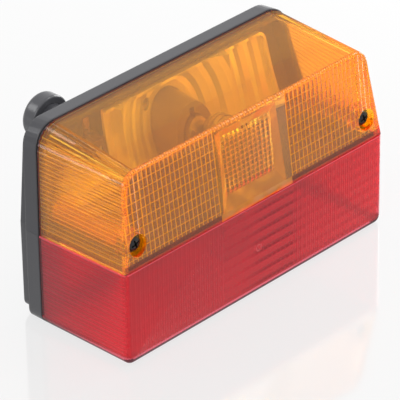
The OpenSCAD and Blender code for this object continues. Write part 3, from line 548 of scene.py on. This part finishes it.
def amber_lens():
    depth = SEAM - AMBER_FRONT
    skin = lens_skin(half=AMBER_HALF, top=AMBER_HALF - AMBER_TALL * TAPER, height=AMBER_TALL, corner=0.011,
                     front_corner=0.007, depth=depth, drop=0.0039, ribbed=True)
    ob = walled(skin, "amber_lens_shell")
    bm = opened(ob)
    flutes = [FLUTE_FIRST + i * FLUTE_PITCH for i in range(FLUTES)]
    flutes = [-x for x in flutes] + flutes
    parted(bm, (0, 0, BORDER), (0, 0, 1))
    valleys(bm, outer_front(depth), 0, flutes, VALLEY_WIDE, VALLEY_DEEP,
            reach=lambda v: v.co.z > BORDER * 1.05 and v.normal.y < -0.3)
    rows = [ROW_FIRST + i * ROW_PITCH for i in range(ROWS)]
    row_end = 0.0685
    valleys(bm, inner_front(depth), 2, rows, VALLEY_WIDE, VALLEY_DEEP,
            reach=lambda v: abs(v.co.x) < row_end)
    lean_back(bm)
    closed(bm, ob)
    pad = optic_pad()
    bmesh.ops.translate(pad, vec=(0, -depth + WALL, 0), verts=pad.verts[:])
    lean_back(pad)
    before, behind = -0.07, -0.01
    sink_deep, sink_r, bore_r = 0.0042, 0.00485, 0.0021
    collar_in, collar_r = 0.0011, 0.00605
    pillar_in, pillar_end, pillar_r = 0.0005, -0.0164, 0.0042
    front = AMBER_FRONT + SCREW_Z * math.tan(LEAN)
    sink = front + sink_deep
    tools = [("UNION", to_object(pad, "pad"))]
    for x in (-SCREW_X, SCREW_X):
        tools.append(("UNION", rod("collar", x, SCREW_Z, front + collar_in, sink + WALL, collar_r)))
        tools.append(("UNION", rod("pillar", x, SCREW_Z, sink + pillar_in, pillar_end, pillar_r)))
    for x in (-SCREW_X, SCREW_X):
        tools.append(("DIFFERENCE", rod("sink", x, SCREW_Z, before, sink, sink_r)))
        tools.append(("DIFFERENCE", rod("bore", x, SCREW_Z, before, behind, bore_r)))
    combine(ob, tools)
    return ob


def red_lens():
    depth = SEAM - RED_FRONT
    skin = lens_skin(half=RED_HALF, top=RED_HALF, height=RED_TALL, corner=0.0055, front_corner=0.004,
                     depth=depth, drop=0.0, ribbed=False)
    ob = walled(skin, "red_lens_shell")
    bm = opened(ob)
    bmesh.ops.scale(bm, vec=(1, 1, -1), verts=bm.verts[:])
    bmesh.ops.reverse_faces(bm, faces=bm.faces[:])
    bars = [BAR_FIRST + i * BAR_PITCH for i in range(BARS)]
    bar_end = 0.0745
    valleys(bm, inner_front(depth), 2, bars, width=0.0032, depth=0.0009,
            reach=lambda v: abs(v.co.x) < bar_end)
    bmesh.ops.translate(bm, vec=(0, SEAM, 0), verts=bm.verts[:])
    closed(bm, ob)
    before, gate_deep = 0.001, 0.00025
    gate = rod("gate", 0.0, GATE_Z, RED_FRONT - before, RED_FRONT + gate_deep, GATE_R)
    combine(ob, [("DIFFERENCE", gate)])
    bm = opened(ob)
    for x in (RED_ZONE, -RED_ZONE):
        parted(bm, (x, 0, 0), (1, 0, 0))
    parted(bm, (0, 0, -PARTING), (0, 0, 1))
    closed(bm, ob)
    return ob


def amber_finish(f):
    """The finish of a face of the amber lens, by its place and the way it faces."""
    c, n = f.calc_center_median(), f.normal
    x, deep = abs(c.x), c.y - c.z * math.tan(LEAN) - AMBER_FRONT
    end_x, end_low, edge_low, rounding, skin = 0.0765, 0.002, 0.03, 0.0028, 0.0006
    pad_x, pad_from, pad_to = 0.0142, 0.0049, 0.0062
    side_x, side_from, side_to = 0.0196, 0.0025, 0.0056
    if n.x * math.copysign(1, c.x) > 0.8 and x > end_x - c.z * TAPER and c.z > end_low:
        return amber_end
    # Pale painted highlights where the flutes cross the top rounding of the front
    if n.y < -0.25 and n.z > 0.3 and deep < rounding and c.z > edge_low:
        return amber_edge_painted_highlight
    if n.y < -0.5 and deep < skin:
        # On the plain strip: painted shade below the flutes, painted light below the pad
        if c.z < BORDER * math.cos(LEAN):
            return amber_strip_painted_shade if x > AMBER_ZONE else amber_bevel_painted_light
        return amber_front if x > AMBER_ZONE else amber_clear
    if x < pad_x and pad_from < deep < pad_to and abs(n.x) < 0.9:
        return amber_pad
    # Painted light on the pad's sloping sides
    return amber_bevel_painted_light if x < side_x and side_from < deep < side_to else amber_clear


def red_finish(f):
    """The finish of a face of the red lens, by its place and the way it faces."""
    c, n = f.calc_center_median(), f.normal
    end_x, end_low, foot_high, foot_flat, skin = 0.0775, -0.0385, -0.0405, -0.0435, 0.0005
    at_end, at_front = abs(c.x) > end_x, c.y < RED_FRONT + skin
    # A pale painted highlight along the parting edge
    if c.z > -PARTING and (at_end or at_front):
        return red_parting_painted_highlight
    # Painted shade on the foot of the red lens
    if c.z < foot_high and (n.z < -0.05 or c.z < foot_flat):
        return red_foot_painted_shade
    if n.x * math.copysign(1, c.x) > 0.8 and at_end and c.z > end_low:
        return red_end
    return red_front if n.y < -0.9 and at_front and abs(c.x) > RED_ZONE else red_clear


def dress(ob, finishes, pick):
    """Gives each face its finish, and keeps the creases sharp."""
    ob.data.materials.clear()
    for m in finishes:
        ob.data.materials.append(m)
    bm = opened(ob)
    bmesh.ops.remove_doubles(bm, verts=bm.verts[:], dist=ON_CUT)
    bm.normal_update()
    for f in bm.faces:
        f.material_index = finishes.index(pick(f))
        f.smooth = True
    crease = math.radians(24)
    for e in bm.edges:
        e.smooth = len(e.link_faces) == 2 and e.calc_face_angle(0.0) < crease
    closed(bm, ob)


amber = amber_lens()
dress(amber, [amber_clear, amber_end, amber_front, amber_strip_painted_shade, amber_pad, amber_bevel_painted_light, amber_edge_painted_highlight],
      amber_finish)
red = red_lens()
dress(red, [red_clear, red_front, red_end, red_foot_painted_shade, red_parting_painted_highlight], red_finish)
for ob, node, slot in ((amber, "amber_lens", "amber_acrylic"), (red, "red_lens", "red_acrylic")):
    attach(ob, "root")
    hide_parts(node)


# Studio: pale floor, soft light, the camera of the photograph

def seen(tree):
    """One for rays from the camera and from gloss and glass."""
    ray = add(tree, "LightPath", {}).outputs
    sharp = add(tree, "Math", {0: ray["Is Camera Ray"], 1: ray["Is Glossy Ray"]}, operation="MAXIMUM")
    return add(tree, "Math", {0: sharp, 1: ray["Is Transmission Ray"]}, operation="MAXIMUM")


def floor():
    """Satin floor, dark under the lamps so that little red comes back from it, with a glow that makes it
    white where it is seen."""
    whiteness = 0.755
    m, tree = material("white_floor_satin")
    body = add(tree, "BsdfPrincipled", {"Base Color": linear("#4A4A4A"), "Roughness": 0.08,
                                        "Specular IOR Level": 0.8})
    level = add(tree, "Math", {0: seen(tree), 1: whiteness}, operation="MULTIPLY")
    glow = add(tree, "Emission", {"Color": (1, 1, 1, 1), "Strength": level})
    add(tree, "OutputMaterial", {"Surface": add(tree, "AddShader", {0: body, 1: glow})})
    bm = bmesh.new()
    bmesh.ops.create_grid(bm, x_segments=1, y_segments=1, size=6.0)
    bmesh.ops.translate(bm, vec=(0, 0, FLOOR_Z), verts=bm.verts[:])
    ob = to_object(bm, "studio_floor")
    ob.data.materials.append(m)


def white_world():
    """White where it is seen, softer where it lights."""
    world = bpy.data.worlds.new("white_studio")
    bpy.context.scene.world = world
    world.use_nodes = True
    tree = world.node_tree
    tree.nodes.clear()
    level = add(tree, "MapRange", {"Value": seen(tree), "To Min": 0.75, "To Max": 1.0})
    sky = add(tree, "Background", {"Color": (1, 1, 1, 1), "Strength": level})
    add(tree, "OutputWorld", {"Surface": sky})


def lamp(name, spot, size, watts):
    """A soft square lamp, turned to the middle of the object."""
    light = bpy.data.lights.new(name, "AREA")
    light.size = size
    light.energy = watts
    ob = bpy.data.objects.new(name, light)
    ob.location = spot
    aim = Vector((0, -0.03, 0))
    ob.rotation_euler = (Vector(spot) - aim).to_track_quat("Z", "Y").to_euler()
    bpy.context.scene.collection.objects.link(ob)


def camera(spot, azimuth, elevation, roll, focal_length):
    """The camera fitted to the outline in the photograph."""
    az, el, turn = (math.radians(v) for v in (azimuth, elevation, roll))
    back = Vector((math.sin(az) * math.cos(el), -math.cos(az) * math.cos(el), math.sin(el)))
    right = Vector((math.cos(az), math.sin(az), 0))
    up = back.cross(right)
    turned = right * math.cos(turn) + up * math.sin(turn)
    upward = up * math.cos(turn) - right * math.sin(turn)
    data = bpy.data.cameras.new("camera")
    data.sensor_width = 36.0
    data.lens = focal_length
    data.clip_start, data.clip_end = 0.05, 50.0
    ob = bpy.data.objects.new("camera", data)
    facing = Matrix((turned, upward, back)).transposed().to_4x4()
    ob.matrix_world = Matrix.Translation(spot) @ facing
    bpy.context.scene.collection.objects.link(ob)
    bpy.context.scene.camera = ob


floor()
white_world()
lamp("key", (-1.0, -0.4, 0.75), size=0.7, watts=5.2)
lamp("fill", (0.80, -0.70, 1.10), size=0.5, watts=4.5)
lamp("side", (0.60, -0.06, 0.22), size=0.3, watts=3.8)
lamp("rim", (-0.72, 0.84, 0.86), size=0.5, watts=3.0)
camera((-0.89007, -0.89171, 0.72692), azimuth=-45.859, elevation=30.793, roll=-0.935, focal_length=307.49)
bpy.context.scene.view_settings.view_transform = "Standard"
